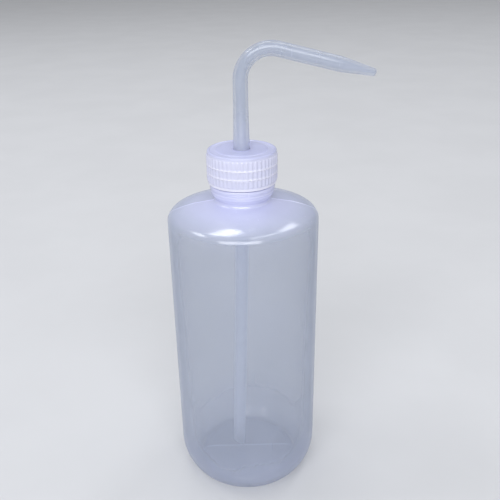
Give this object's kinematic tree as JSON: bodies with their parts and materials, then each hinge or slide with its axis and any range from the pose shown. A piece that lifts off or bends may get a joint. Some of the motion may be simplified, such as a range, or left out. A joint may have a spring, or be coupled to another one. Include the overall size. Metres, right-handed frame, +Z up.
{
  "type": "wash bottle",
  "caption": "Squeeze wash bottle: round translucent body, ribbed screw cap, and a bent nozzle spout that swivels on an inner plug with a dip tube.",
  "frame": {"origin": "centre of the base, on the plane the bottle stands on", "axes": "+Z up along the neck, +X the way the spout's arm points"},
  "size_m": [0.0968, 0.073, 0.228],
  "materials": {
    "bottle_polyethylene": "satin, milky translucent low-density polyethylene, natural colour",
    "cap_polyethylene": "semi-gloss, near-white translucent polyethylene",
    "plug_polyethylene": "satin, near-white polyethylene",
    "spout_polyethylene": "semi-gloss, milky translucent low-density polyethylene",
    "tube_polyethylene": "satin, translucent extruded polyethylene"
  },
  "bodies": {
    "bottle": {"bottle": "bottle_polyethylene"},
    "head": {"inner_plug": "plug_polyethylene", "dip_tube": "tube_polyethylene"},
    "cap": {"screw_cap": "cap_polyethylene"},
    "spout": {"spout": "spout_polyethylene"}
  },
  "joints": [
    {"name": "head_rise", "type": "slide", "parent": "bottle", "child": "head", "axis": [0, 0, 1], "range_m": [0, 0.0063]},
    {"name": "cap_turn", "type": "hinge", "parent": "head", "child": "cap", "pos_m": [0, 0, 0.172], "axis": [0, 0, 1], "range_deg": [0, 540]},
    {"name": "spout_swivel", "type": "hinge", "parent": "head", "child": "spout", "pos_m": [0, 0, 0.18], "axis": [0, 0, 1], "continuous": true}
  ],
  "couplings": [
    {"joint": "head_rise", "follows": "cap_turn", "m_per_rad": 0.00066845}
  ]
}
